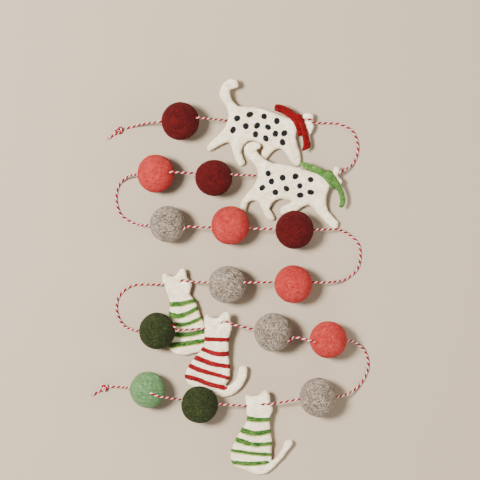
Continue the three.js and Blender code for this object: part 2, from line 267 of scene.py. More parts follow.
def fibre_material(name, tones):
    """Loose fibres on the felt: one tone melts into the next from fibre to fibre."""
    shading = Shading(name)
    patches = shading.noise(1.6 * MM)
    fine = shading.noise(0.2 * MM, detail=1.0)
    dark, usual, light = (srgb(*t) for t in tones)
    color = shading.ramp(patches, [(0.3, dark), (0.48, usual), (0.62, light)])
    return shading.finish(color, fine, 0.02 * MM, sheen=0.3, sheen_tint=light)


def yarn_material(name, dark_and_groove_shade, usual):
    """A ply of cotton twine: three fine strands wind along it. U runs along and V round it."""
    shading = Shading(name)
    spot = shading.node("ShaderNodeUVMap", {}, uv_map="ply").outputs[0]
    along, around, _ = shading.node("ShaderNodeSeparateXYZ", {0: spot}).outputs
    turns = shading.math("MULTIPLY_ADD", around, 3.0, along)
    ridge = shading.math("SINE", shading.math("MULTIPLY", turns, 2 * math.pi))
    fine = shading.noise(0.25 * MM, detail=3.0)
    cloud = shading.noise(3 * MM)
    # Painted shade: the strands' ridges make the ply darker in the grooves between them, while the fine
    # grain and the clouds vary the tone at random.
    tone = shading.math("MULTIPLY_ADD", ridge, 0.22, 0.05)
    tone = shading.math("MULTIPLY_ADD", fine, 0.5, tone)
    tone = shading.math("MULTIPLY_ADD", cloud, 0.4, tone)
    height = shading.math("MULTIPLY_ADD", fine, 0.6, shading.math("MULTIPLY", ridge, 0.5))
    color = shading.ramp(tone, [(0.2, srgb(*dark_and_groove_shade)), (0.6, srgb(*usual))])
    return shading.finish(color, height, 0.1 * MM, sheen=0.2, sheen_tint=srgb(*usual))


# ---- Meshes ----


def unit(vectors):
    return vectors / np.maximum(norm(vectors, axis=-1, keepdims=True), 1e-12)


def placed(name, data):
    """A new object of that data, in the scene."""
    made = bpy.data.objects.new(name, data)
    bpy.context.scene.collection.objects.link(made)
    return made


def declare(piece, node=None):
    """The piece rides on the garland and stands for the CAD node."""
    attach(piece, "root")
    if node:
        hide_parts(node)
    return piece


class Bodies:
    """Gathers closed bodies and makes one piece of them."""

    def __init__(self):
        self.points, self.faces, self.finishes, self.corners = [], [], [], []
        self.count = 0

    def add(self, points, faces, finish=0, corners=None):
        """faces are lists of point numbers; corners are the UV places of the faces' corners."""
        self.points.append(np.asarray(points, float).reshape(-1, 3))
        self.faces += [[self.count + i for i in face] for face in faces]
        self.finishes += finish if isinstance(finish, list) else [finish] * len(faces)
        if corners is not None:
            self.corners.append(corners)
        self.count += len(self.points[-1])

    def piece(self, name, materials, uv_map=None):
        mesh = bpy.data.meshes.new(name)
        mesh.from_pydata(np.concatenate(self.points).tolist(), [], self.faces)
        for material in materials:
            mesh.materials.append(material)
        mesh.polygons.foreach_set("material_index", self.finishes)
        mesh.polygons.foreach_set("use_smooth", [True] * len(self.faces))
        if uv_map:
            layer = mesh.uv_layers.new(name=uv_map)
            layer.data.foreach_set("uv", np.concatenate(self.corners).astype(np.float32).ravel())
        mesh.validate()
        return placed(name, mesh)


def ring_faces(rings, sides):
    """Faces of a tube of rings, each with that many sides, and of its two end caps."""
    faces = [
        [r * sides + s, r * sides + (s + 1) % sides,
         (r + 1) * sides + (s + 1) % sides, (r + 1) * sides + s]
        for r in range(rings - 1)
        for s in range(sides)
    ]
    last = (rings - 1) * sides
    return faces + [list(range(sides - 1, -1, -1)), list(range(last, last + sides))]


def tube_points(line, sideways, upward, half_widths, half_heights, sides):
    """Rings of an oval section along a line. sideways x upward is the line's direction."""
    turn = 2 * np.pi * np.arange(sides) / sides
    across = (half_widths[:, None] * np.cos(turn))[..., None] * sideways[:, None]
    over = (half_heights[:, None] * np.sin(turn))[..., None] * upward[:, None]
    return line[:, None] + across + over


def along(line):
    """The distance of each point of a line from its start."""
    steps = norm(np.diff(line, axis=0), axis=1)
    return np.concatenate([[0], np.cumsum(steps)])


def spaced(line, step):
    """The line again, with points step apart."""
    places = along(line)
    count = max(3, round(places[-1] / step) + 1)
    at = np.linspace(0, places[-1], count)
    return np.stack([np.interp(at, places, line[:, k]) for k in range(3)], axis=1)


PER_STRETCH = 12  # a curve's steps between two of the points that it goes through


def curve_through(points, per_stretch=PER_STRETCH):
    """A centripetal Catmull-Rom curve through the points, as in part.mjs."""
    points = np.asarray(points, float)
    points = np.concatenate([[2 * points[0] - points[1]], points, [2 * points[-1] - points[-2]]])
    knots = np.concatenate(
        [[0], np.cumsum(np.sqrt(norm(np.diff(points, axis=0), axis=1)))]
    )
    line = []
    for i in range(1, len(points) - 2):
        p, k = points[i - 1 : i + 3], knots[i - 1 : i + 3]
        t = np.linspace(k[1], k[2], per_stretch, endpoint=False)[:, None]

        def between(a, b, low, high):
            return (a * (high - t) + b * (t - low)) / (high - low)

        first = [between(p[j], p[j + 1], k[j], k[j + 1]) for j in range(3)]
        second = [between(first[j], first[j + 1], k[j], k[j + 2]) for j in range(2)]
        line.append(between(second[0], second[1], k[1], k[2]))
    return np.concatenate([*line, points[-2:-1]])


def directions(line):
    return unit(np.gradient(line, axis=0))


def steady_frames(line, first_up):
    """(sideways, upward) at each point of a line, turned about it as little as can be."""
    ahead = directions(line)
    upward = np.zeros_like(line)
    upward[0] = unit(np.asarray(first_up) - np.dot(first_up, ahead[0]) * ahead[0])
    for i in range(1, len(line)):
        step = line[i] - line[i - 1]
        size = max(np.dot(step, step), 1e-18)
        up = upward[i - 1] - 2 / size * np.dot(step, upward[i - 1]) * step
        old = ahead[i - 1] - 2 / size * np.dot(step, ahead[i - 1]) * step
        turn = ahead[i] - old
        upward[i] = unit(up - 2 / max(np.dot(turn, turn), 1e-18) * np.dot(turn, up) * turn)
    return np.cross(upward, ahead), upward


def mesh_arrays(mesh):
    """(points, triangles) of a Blender mesh."""
    mesh.calc_loop_triangles()
    points = np.empty(len(mesh.vertices) * 3, np.float32)
    triangles = np.empty(len(mesh.loop_triangles) * 3, np.int32)
    mesh.vertices.foreach_get("co", points)
    mesh.loop_triangles.foreach_get("vertices", triangles)
    return points.reshape(-1, 3).astype(float), triangles.reshape(-1, 3)


def point_normals(mesh):
    found = np.empty(len(mesh.vertices) * 3, np.float32)
    mesh.vertex_normals.foreach_get("vector", found)
    return found.reshape(-1, 3).astype(float)


def move_points(mesh, points):
    mesh.vertices.foreach_set("co", points.astype(np.float32).ravel())
    mesh.update()


def lumps(points, size, seed):
    """Smooth noise from -1 to 1 at each point, with lumps about that size."""
    shift = Vector((17.3 * seed, 5.1 * seed, 9.7 * seed))
    return np.array([noise.noise(Vector(p) / size + shift) for p in points])


def with_modifier(piece, kind, **settings):
    """Applies one modifier to the piece's mesh."""
    modifier = piece.modifiers.new(kind, kind)
    for key, value in settings.items():
        setattr(modifier, key, value)
    graph = bpy.context.evaluated_depsgraph_get()
    mesh = bpy.data.meshes.new_from_object(piece.evaluated_get(graph), depsgraph=graph)
    piece.modifiers.remove(modifier)
    old, piece.data = piece.data, mesh
    bpy.data.meshes.remove(old)


# ---- Camera, light and table ----

VIEW_MIDDLE_MM = (1.3, 29.8)  # of the picture, over the table
VIEW_WIDTH_MM = 384
VIEW_HEIGHT_MM = 15  # the pieces' middle, where the picture has that width
LENS_MM, SENSOR_MM = 150, 36
LAMP_DISTANCE = 1.5


def add_camera():
    data = bpy.data.cameras.new("camera")
    data.lens, data.sensor_width = LENS_MM, SENSOR_MM
    camera = placed("camera", data)
    distance = VIEW_WIDTH_MM * LENS_MM / SENSOR_MM
    camera.location = Vector((*VIEW_MIDDLE_MM, VIEW_HEIGHT_MM + distance)) * MM
    bpy.context.scene.camera = camera


def add_lamp(name, towards, size, watts, color):
    """A soft square lamp that shines from that direction onto the garland."""
    data = bpy.data.lights.new(name, "AREA")
    data.size, data.energy, data.color = size, watts, color
    lamp = placed(name, data)
    direction = Vector(towards).normalized()
    lamp.location = Vector((*VIEW_MIDDLE_MM, 0)) * MM + direction * LAMP_DISTANCE
    lamp.rotation_euler = direction.to_track_quat("Z", "Y").to_euler()


def add_studio():
    add_lamp("key_lamp", (-0.48, 0.12, 0.87), 0.36, 74, (1.0, 0.98, 0.945))
    add_lamp("side_lamp", (0.93, -0.12, 0.30), 0.9, 20, (1.0, 0.97, 0.93))
    add_lamp("front_lamp", (0.1, -0.95, 0.28), 0.9, 15, (1.0, 0.97, 0.93))
    add_lamp("back_lamp", (-0.1, 0.95, 0.28), 0.9, 9, (1.0, 0.97, 0.93))
    world = bpy.data.worlds.new("studio")
    world.use_nodes = True
    world.node_tree.nodes["Background"].inputs["Color"].default_value = (1.0, 0.98, 0.94, 1.0)
    world.node_tree.nodes["Background"].inputs["Strength"].default_value = 0.3
    bpy.context.scene.world = world

    shading = Shading("table_paper")
    grain = shading.noise(0.6 * MM, detail=3.0)
    color = shading.ramp(grain, [(0.3, srgb(160, 144, 124)), (0.7, srgb(166, 150, 130))])
    paper = shading.finish(color, grain, 0.02 * MM, sheen=0.0, sheen_tint=(1, 1, 1, 1))
    mesh = bpy.data.meshes.new("table")
    half = 3.0
    corners = [(-half, -half, 0), (half, -half, 0), (half, half, 0), (-half, half, 0)]
    mesh.from_pydata(corners, [], [(0, 1, 2, 3)])
    mesh.materials.append(paper)
    placed("table", mesh)


add_camera()

# ---- Twine ----


def overhand_knot(end, outward):
    """Points of a simple knot at a free end of the twine, from the garland outwards, and its tail.
    The plan is the long trefoil x = t^3 - 3t, y = t^4 - 4t^2, flattened onto the table."""
    crossings = [(-1.93, -1), (-1.73, 1), (-1.2, 0.3), (-0.52, -1), (0, 0), (0.52, 1),
                 (1.2, -0.3), (1.73, -1), (1.93, 1)]
    outward = unit(np.array([*outward[:2], 0.0]))
    aside = np.array([-outward[1], outward[0], 0.0])
    middle = end + outward * 3.2 * KNOT_SIZE
    points = [
        middle + KNOT_SIZE * ((t**3 - 3 * t) * outward + (t**4 - 4 * t**2 + 2) * aside)
        + np.array([0, 0, (1 + level) * KNOT_LIFT])
        for t, level in crossings
    ]
    away = unit(points[-1] - points[-2]) * [1, 1, 0]
    tail = [points[-1] * [1, 1, 0] + away * KNOT_TAIL * share + outward * KNOT_TAIL * share
            + [0, 0, LOWEST_TWINE] for share in (0.4, 0.8)]
    return points + tail


def twine_line():
    """The twine's centre line: a knot, the route and a knot, in even steps."""
    route = np.array(TWINE_ROUTE)
    stations = []
    for start, end in zip(route[1:], route[2:-1]):
        stations.append(start)
        stretch = end - start
        if norm(stretch) > STRAIGHT_FROM:
            turn = unit(stretch) * CORNER_ROOM
            stations += [start + turn, end - turn]
    stations.append(route[-2])
    first = overhand_knot(route[1], route[0] - route[1])
    last = overhand_knot(route[-2], route[-1] - route[-2])
    line = curve_through([*first[::-1], *stations, *last])
    line[:, 2] = np.maximum(line[:, 2], LOWEST_TWINE)
    return spaced(line, TWINE_STEP)


def twine_section():
    """(radii, angles) round the four plies: four points on each, from one groove to the next."""
    ply = TWINE_DIAMETER / 4
    local = np.radians([-90, -45, 0, 45])
    x, y = ply + ply * np.cos(local), ply * np.sin(local)
    turn = np.concatenate([np.arctan2(y, x) + number * np.pi / 2 for number in range(PLIES)])
    turn += RED_LEAD * np.sin(turn - np.pi / 4)
    return np.tile(np.hypot(x, y), PLIES), turn


def add_twine(line):
    sideways, upward = steady_frames(line, (0, 0, 1))
    distance = along(line)
    radius, turn = twine_section()
    angle = turn - 2 * np.pi * distance[:, None] / TWINE_PITCH
    out = np.cos(angle)[..., None] * sideways[:, None] + np.sin(angle)[..., None] * upward[:, None]
    rings = line[:, None] + out * radius[:, None]
    sides = len(turn)
    ring, side = np.meshgrid(np.arange(len(line) - 1), np.arange(sides), indexing="ij")
    u = distance / YARN_TURN
    corners = np.stack(
        [np.stack([u[ring + i], (side + j) / sides * PLIES], axis=-1)
         for i, j in ((0, 0), (0, 1), (1, 1), (1, 0))], axis=2
    ).reshape(-1, 2)
    bodies = Bodies()
    finishes = (side // (sides // 2)).ravel().tolist() + [1, 1]
    corners = np.concatenate([corners, np.zeros((2 * sides, 2))])
    bodies.add(rings, ring_faces(len(line), sides), finishes, corners)
    plies = [
        # The first tone of each ply is its darkest. It is also the painted shade in the grooves between
        # its strands.
        yarn_material("yarn_red", (92, 2, 14), (146, 6, 28)),
        yarn_material("yarn_white", (170, 154, 142), (232, 222, 211)),
    ]
    return declare(bodies.piece("bakers_twine", plies, uv_map="ply"), "twine")


def add_frays(ends):
    """The cut ends of the twine's yarns, that open out a little."""
    rng = np.random.default_rng(7)
    bodies = Bodies()
    for end, outward in ends:
        for color in (0, 1):
            fan = rng.normal(size=(FRAYS, 3)) * 0.3 + outward
            reach = rng.uniform(0.5, 1.7, (FRAYS, 1)) * MM
            roots = end - outward * 0.4 * MM + rng.normal(size=(FRAYS, 3)) * 0.22 * MM
            lines = np.stack([roots, roots + outward * 0.5 * MM, end + fan * reach], axis=1)
            lines[..., 2] = np.maximum(lines[..., 2], 0.1 * MM)
            radii = 0.07 * MM * np.array([1.0, 1.0, 0.6])
            add_fibres(bodies, lines, np.full(lines.shape, (0.1, 0.2, 1.0)), radii, color)
    frays = bodies.piece("twine_frays", [
        fibre_material("fibre_twine_red", [(80, 2, 12), (140, 6, 26), (176, 40, 56)]),
        fibre_material("fibre_twine_white", [(150, 136, 124), (214, 204, 192), (240, 232, 222)]),
    ])
    declare(frays)


TWINE = twine_line()
twine_tree = KDTree(len(TWINE))
for number, point in enumerate(TWINE):
    twine_tree.insert(point, number)
twine_tree.balance()
twine = add_twine(TWINE)
float(along(TWINE)[-1])

# ---- Fibres ----


class Skin:
    """The finished surface of a piece, to scatter fibres and lay wool on."""

    def __init__(self, piece):
        self.points, self.triangles = mesh_arrays(piece.data)
        self.tree = BVHTree.FromPolygons(self.points.tolist(), self.triangles.tolist())
        a, b, c = (self.points[self.triangles[:, k]] for k in range(3))
        cross = np.cross(b - a, c - a)
        self.areas = norm(cross, axis=1) / 2
        self.normals = unit(cross)

    def scatter(self, count, rng, rims=0.0):
        """(points, normals) spread over the surface, denser by rims where it stands upright."""
        weights = self.areas * (1 + rims * (1 - np.abs(self.normals[:, 2])) ** 2)
        chosen = rng.choice(len(weights), count, p=weights / weights.sum())
        u, v = rng.random((2, count, 1))
        u, v = np.where(u + v > 1, 1 - u, u), np.where(u + v > 1, 1 - v, v)
        a, b, c = (self.points[self.triangles[chosen, k]] for k in range(3))
        return a + u * (b - a) + v * (c - a), self.normals[chosen]

    def nearest(self, point):
        place, normal, _, _ = self.tree.find_nearest(Vector(point))
        return np.array(place), np.array(normal)

    def below(self, x, y):
        """The surface's highest point at x, y, and its normal there."""
        place, normal, _, _ = self.tree.ray_cast(Vector((x, y, 1)), Vector((0, 0, -1)))
        return (None, None) if place is None else (np.array(place), np.array(normal))


def add_fibres(bodies, lines, normals, radii, finish=0):
    """Three-sided tapered tubes along lines[fibre][point], closed at their ends, over the table.
    radii are a row for each fibre, or one row for all of them."""
    lines, normals = np.array(lines), np.array(normals)
    radii = np.broadcast_to(radii, lines.shape[:2])
    lines[..., 2] = np.maximum(lines[..., 2], radii)
    ahead = unit(np.gradient(lines, axis=1))
    side = unit(np.cross(ahead, normals))
    up = np.cross(side, ahead)
    turn = 2 * np.pi * np.arange(3) / 3
    ring = np.cos(turn)[:, None] * side[:, :, None] + np.sin(turn)[:, None] * up[:, :, None]
    points = lines[:, :, None] + ring * radii[:, :, None, None]
    faces = np.array([f for f in ring_faces(lines.shape[1], 3) if len(f) == 4])
    caps = np.array([f for f in ring_faces(lines.shape[1], 3) if len(f) == 3])
    starts = (np.arange(len(lines)) * lines.shape[1] * 3)[:, None, None]
    every = (faces + starts).reshape(-1, 4).tolist() + (caps + starts).reshape(-1, 3).tolist()
    bodies.add(points, every, finish)


LAID_RADIUS = 0.06 * MM  # of a fibre that lies on the felt


def clear_of_twine(points, room=1.3 * MM):
    return all(twine_tree.find(p)[2] > room for p in points)


def laid_fibres(skin, rng, count, length, radius, curl=0.5, steps=7, lift=0.3):
    """Fibres that wander over a surface: (lines, normals, radii)."""
    starts, normals = skin.scatter(count, rng)
    lines, ups = [], []
    for start, normal in zip(starts, normals):
        if not clear_of_twine([start]):
            continue
        ahead = unit(np.cross(normal, rng.normal(size=3)))
        bend, step = rng.normal() * curl, length * rng.uniform(0.5, 1.3) / steps
        place, line, up = start, [], []
        for _ in range(steps + 1):
            line.append(place + normal * radius * lift)
            up.append(normal)
            bend += rng.normal() * curl * 0.6
            ahead = unit(ahead + np.cross(normal, ahead) * bend)
            place, normal = skin.nearest(place + ahead * step)
            ahead = unit(ahead - np.dot(ahead, normal) * normal)
        if clear_of_twine([line[-1], line[steps // 2]]):
            lines.append(line)
            ups.append(up)
    taper = np.sin(np.linspace(0.12, 0.88, steps + 1) * np.pi) ** 0.5
    radii = radius * taper * rng.uniform(0.6, 1.2, (len(lines), 1))
    return lines, ups, radii


def standing_fibres(skin, rng, count, length, radius, rims=0.0):
    """Short fuzz that stands off a surface: (lines, normals, radii)."""
    starts, normals = skin.scatter(count, rng, rims)
    keep = np.array([clear_of_twine([s]) for s in starts])
    starts, normals = starts[keep], normals[keep]
    lean = unit(normals * rng.uniform(0.25, 1.0, (len(starts), 1)) + rng.normal(size=starts.shape) * 0.7)
    lean = unit(lean + normals * np.maximum(0, 0.25 - (lean * normals).sum(1, keepdims=True)))
    sweep = unit(np.cross(normals, rng.normal(size=starts.shape)))
    far = (length * rng.uniform(0.3, 1.3, len(starts)))[:, None]
    tips = starts + unit(lean - normals * 0.4 + rng.normal(size=starts.shape) * 0.35) * far
    lines = np.stack([starts - normals * radius, starts + lean * far * 0.5, tips], axis=1)
    lines[..., 2] = np.maximum(lines[..., 2], radius)
    ups = np.repeat(sweep[:, None], 3, axis=1)
    return lines, ups, radius * np.array([1.1, 0.8, 0.3])


def tuft_fibres(skin, rng, place, outward):
    """Fibres that lean onto the twine all round it where it comes out: (lines, normals, radii)."""
    aside = unit(np.cross(outward, rng.normal(size=3)))
    over = np.cross(outward, aside)
    lines, ups = [], []
    for turn in rng.uniform(0, 2 * np.pi, TUFT_FIBRES):
        out = math.cos(turn) * aside + math.sin(turn) * over
        swing = np.cross(outward, out) * rng.normal() * 0.6 * MM
        root, normal = skin.nearest(place + out * rng.uniform(1.8, 3.0) * MM + swing)
        bend, _ = skin.nearest(place + out * 1.35 * MM + swing * 0.5)
        touch = place + out * (TWINE_DIAMETER / 2 + 0.03 * MM)
        end = touch + outward * rng.uniform(0.3, 1.0) * MM - swing * 0.3
        lines.append([root, bend + normal * 0.1 * MM, touch + outward * 0.12 * MM, end])
        ups.append([np.cross(outward, out)] * 4)
    return lines, ups, 0.05 * MM * np.array([0.8, 1.0, 0.9, 0.4])


def fuzz(name, skin, wool, seed, laid, laid_length, standing, length, radius,
         rims=0.0, tufts=()):
    """A piece of loose fibres in the wool's tones, on and off the surface."""
    rng = np.random.default_rng(seed)
    bodies = Bodies()
    share = 1
    add_fibres(bodies, *laid_fibres(skin, rng, int(laid * share), laid_length, LAID_RADIUS))
    add_fibres(bodies, *standing_fibres(skin, rng, int(standing * share), length, radius, rims))
    for place, outward in tufts:
        add_fibres(bodies, *tuft_fibres(skin, rng, place, outward))
    return declare(bodies.piece(name, [FIBRES[wool]]))


add_frays([(TWINE[0], unit(TWINE[0] - TWINE[2])), (TWINE[-1], unit(TWINE[-1] - TWINE[-3]))])
WOOL = {name: wool_material(f"wool_{name}", **facts) for name, facts in WOOLS.items()}
FIBRES = {name: fibre_material(f"fibre_{name}", facts["tones"]) for name, facts in WOOLS.items()}

# ---- Balls ----

BALL_FLAT = 0.5 * MM  # how far a ball is pressed flat where it rests
BALL_GRID = 34
BORE_RADIUS = TWINE_DIAMETER / 2 + 0.08 * MM
BORE_SIDES = 12
DIMPLE_DEPTH, DIMPLE_WIDTH = 0.7 * MM, 1.6 * MM
TUFT_FIBRES = 44  # that close round the twine where it leaves a ball
BALL_LUMPS = [(0.30, 0.9, 0), (0.16, 0.33, 31), (0.06, 0.11, 57)]  # depth in mm, size in radii, seed


def unit_ball():
    """(points, faces) of a ball of radius 1: a cube's six square grids, blown out round."""
    steps = np.tan(np.linspace(-np.pi / 4, np.pi / 4, BALL_GRID + 1))
    across, over = np.meshgrid(steps, steps, indexing="ij")
    points, faces = [], []
    for axis in range(3):
        for side in (1, -1):
            place = np.empty((BALL_GRID + 1, BALL_GRID + 1, 3))
            place[..., axis] = side
            place[..., (axis + 1) % 3], place[..., (axis + 2) % 3] = across, over * side
            number = np.arange(place[..., 0].size).reshape(across.shape)
            number = number + len(points) * place[..., 0].size
            corners = [number[:-1, :-1], number[1:, :-1], number[1:, 1:], number[:-1, 1:]]
            faces.append(np.stack(corners, axis=-1).reshape(-1, 4))
            points.append(unit(place.reshape(-1, 3)))
    points = np.concatenate(points)
    _, first, number = np.unique(points.round(7), axis=0, return_index=True, return_inverse=True)
    return points[first], number.ravel()[np.concatenate(faces)].tolist()


def ball_size(node):
    """(centre, radii) of the ball that the CAD node's facets stand for."""
    points, _ = mesh_arrays(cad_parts[node].data)
    low, high = np.array(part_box(node))
    centre, half = (low + high) / 2, (high - low) / 2
    flat = np.hypot(*((points - centre)[:, :2] / half[:2]).T)
    reach = flat.max()
    radii = np.array([*half[:2], half[:2].mean()]) * reach
    centre[2] = radii[2] - BALL_FLAT
    return centre, radii


def bore_piece(near, radius):
    """The tube that the twine takes up where it passes a point, a little wider than the twine."""
    inside = norm(TWINE - near, axis=1) < 24 * MM
    line = spaced(TWINE[inside], 1.2 * MM)
    sideways, upward = steady_frames(line, (0, 0, 1))
    radii = np.full(len(line), radius)
    bodies = Bodies()
    bodies.add(
        tube_points(line, sideways, upward, radii, radii, BORE_SIDES),
        ring_faces(len(line), BORE_SIDES),
    )
    return bodies.piece("bore", [])


def exits(centre, radii):
    """(place, outward direction) wherever the twine comes out of a ball."""
    inside = norm((TWINE - centre) / radii, axis=1) < 1 - DIMPLE_DEPTH / radii[0]
    steps = np.flatnonzero(inside[1:] != inside[:-1])
    return [
        (TWINE[i], unit(TWINE[i + 1] - TWINE[i]) * (1 if inside[i] else -1)) for i in steps
    ]


def add_ball(node, wool, seed, shape):
    out, faces = shape
    centre, radii = ball_size(node)
    bulge = sum(depth * lumps(out, size, seed + more) for depth, size, more in BALL_LUMPS)
    crease = np.exp(-((lumps(out, 0.55, seed + 83) / 0.045) ** 2))
    crease *= np.clip(lumps(out, 0.8, seed + 91) * 3, 0, 1)
    points = out * radii + centre + out * ((bulge - 0.3 * crease) * MM)[:, None]
    near = np.array([twine_tree.find(p)[2] for p in points])
    dimple = DIMPLE_DEPTH * np.exp(-((near / DIMPLE_WIDTH) ** 2))
    points -= out * dimple[:, None]
    points[:, 2] = np.maximum(points[:, 2], 0)
    bodies = Bodies()
    bodies.add(points, faces)
    ball = bodies.piece(f"wool_{node}", [WOOL[wool]])
    bore = bore_piece(centre, BORE_RADIUS)
    with_modifier(ball, "BOOLEAN", operation="DIFFERENCE", object=bore, solver="MANIFOLD")
    bpy.data.objects.remove(bore)
    declare(ball, node)
    fuzz(f"wool_{node}_fibres", Skin(ball), wool, seed, laid=170, laid_length=7 * MM,
         standing=620, length=0.9 * MM, radius=0.024 * MM, tufts=exits(centre, radii))


# ---- Cats ----

CAT_VOXEL = 0.65 * MM
CAT_SMOOTHINGS = 8
CAT_FILL = 0.1 * MM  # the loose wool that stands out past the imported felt
CAT_LUMPS_MM = [(0.3, 9), (0.26, 3.6), (0.12, 1.7)]  # depth and size
HUG = 0.06 * MM  # between the twine and the wool that closes round it
HUG_MIDDLE, HUG_RIM = 1.6 * MM, 2.6 * MM  # wool is drawn in most up to the first, none past the second


def smoothed(mesh, points, rounds):
    """The points, each drawn towards the middle of its neighbours."""
    edges = np.empty(len(mesh.edges) * 2, np.int32)
    mesh.edges.foreach_get("vertices", edges)
    a, b = edges.reshape(-1, 2).T
    count = np.bincount(np.concatenate([a, b]), minlength=len(points))[:, None]
    for share in (0.6, -0.62) * rounds:
        total = np.zeros_like(points)
        np.add.at(total, a, points[b])
        np.add.at(total, b, points[a])
        points = points + share * (total / count - points)
    return points


def hugging(points):
    """Draws the wall of a bore close round the twine."""
    near = TWINE_DIAMETER / 2 + HUG
    drawn = [near, near + (HUG_MIDDLE - near) / 4, HUG_RIM]
    for i, point in enumerate(points):
        place, _, far = twine_tree.find(point)
        if far < HUG_RIM:
            wanted = np.interp(far, [near, HUG_MIDDLE, HUG_RIM], drawn)
            points[i] = np.array(place) + (point - np.array(place)) * wanted / max(far, 1e-6)
    return points


def add_cat(node, seed):
    cat = placed(f"felt_{node}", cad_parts[node].data.copy())
    cat.data.materials.clear()
    with_modifier(cat, "REMESH", mode="VOXEL", voxel_size=CAT_VOXEL)
    mesh = cat.data
    points, _ = mesh_arrays(mesh)
    points = smoothed(mesh, points, CAT_SMOOTHINGS)
    move_points(mesh, points)
    normals = point_normals(mesh)
    swell = CAT_FILL / MM + sum(
        depth * lumps(points, size * MM, seed + size) for depth, size in CAT_LUMPS_MM
    )
    points = hugging(points + normals * (swell * MM)[:, None])
    points[:, 2] = np.maximum(points[:, 2], 0)
    move_points(mesh, points)
    mesh.polygons.foreach_set("use_smooth", [True] * len(mesh.polygons))
    mesh.materials.append(WOOL["white"])
    declare(cat, node)
    skin = Skin(cat)
    loose = fuzz(f"felt_{node}_fibres", skin, "white", seed, laid=200,
                 laid_length=6 * MM, standing=1750, length=0.95 * MM, radius=0.025 * MM, rims=8.0)
    return cat, loose, skin


def flat_cut(node):
    """((width, length), area) of the felt a CAD cat is cut from, laid flat."""
    points, triangles = mesh_arrays(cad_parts[node].data)
    a, b, c = (points[triangles[:, k]] for k in range(3))
    area = np.cross(b - a, c - a)[:, 2].clip(0).sum() / 2
    width, length, _ = np.diff(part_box(node), axis=0)[0]
    return (float(width), float(length)), float(area)


# ---- Spots and stripes: wool needled onto the cats ----

SPOT_RINGS, SPOT_SIDES = 5, 24
SPOT_RADIUS = 2.4 * MM
SPOT_HEIGHT = 0.4 * MM
SPOT_FIBRES = 44
SUNK = 0.35 * MM  # how far needled wool goes into the felt

SPOTS_MM = {
    "cat_walking_1": [
        (-1.0, 127.6), (9.1, 130.6), (20.6, 129.1), (30.9, 125.4), (6.0, 121.3), (15.0, 121.7),
        (23.8, 120.5), (-4.3, 118.2), (13.8, 114.7), (29.8, 115.2), (36.9, 115.7), (22.1, 111.5),
        (35.5, 108.4),
    ],
    "cat_walking_2": [
        (23.9, 83.2), (26.6, 76.8), (19.2, 71.8), (35.5, 79.8), (29.7, 68.1), (38.6, 71.1),
        (45.8, 80.9), (49.3, 73.3), (49.7, 65.8), (58.0, 78.3), (58.0, 68.1),
    ],
}

# Each stripe: its middle line from edge to edge, and its width at the left and at the right.
STRIPES_MM = {
    "cat_sitting_1": ("stripe_green", [
        ([(-55.5, -21.9), (-46.0, -21.4), (-35.9, -18.9)], 4.1, 3.1),
        ([(-56.1, -29.6), (-48.5, -31.4), (-39.8, -28.6), (-33.4, -25.0)], 4.5, 2.7),
        ([(-53.5, -38.0), (-41.1, -37.5), (-30.4, -33.0)], 3.1, 2.5),
        ([(-53.0, -46.2), (-39.8, -46.2), (-27.0, -43.4)], 4.1, 2.8),
        ([(-55.8, -55.0), (-44.8, -53.8), (-26.5, -51.0)], 4.2, 3.2),
    ]),
    "cat_sitting_2": ("stripe_red", [
        ([(-26.9, -49.6), (-17.0, -50.0), (-7.0, -50.3)], 3.5, 3.4),
        ([(-29.4, -57.4), (-18.0, -61.5), (-8.6, -61.5)], 3.6, 4.1),
        ([(-33.8, -64.8), (-20.5, -69.7), (-7.0, -72.0)], 4.5, 3.4),
        ([(-39.6, -70.9), (-30.7, -74.8), (-18.0, -78.4), (-7.3, -81.4)], 4.1, 3.1),
        ([(-43.0, -79.9), (-33.5, -82.1), (-24.3, -85.8), (-11.4, -89.1)], 3.8, 4.2),
    ]),
    "cat_sitting_3": ("stripe_green", [
        ([(7.8, -113.4), (15.7, -114.6), (25.3, -114.2)], 4.1, 2.8),
        ([(3.5, -123.1), (13.4, -125.6), (25.0, -123.8)], 4.6, 3.1),
        ([(-0.7, -130.8), (12.2, -134.5), (26.8, -133.8)], 4.2, 2.7),
        ([(-4.4, -139.4), (12.2, -141.8), (26.5, -142.7)], 2.4, 2.5),
        ([(-5.3, -148.8), (9.0, -150.1), (22.6, -149.1)], 3.1, 3.1),
    ]),
}

STRIPE_STEP = 0.7 * MM
STRIPE_HEIGHT = 0.42 * MM
STRIPE_ACROSS = 7  # points across a stripe
STRIPE_FIBRES = [(80, 0.45), (26, 0.9)]  # how many, and how far they stray over its edges
FRINGE_DROP = 0.75 * MM  # the green stripes' paler fringe shows this far under them
FRINGE_HEIGHT = 0.16 * MM
WRAP_MM = [(0.9, -1.6), (1.2, -3.2)]  # outwards and down, where a stripe goes on round the rim


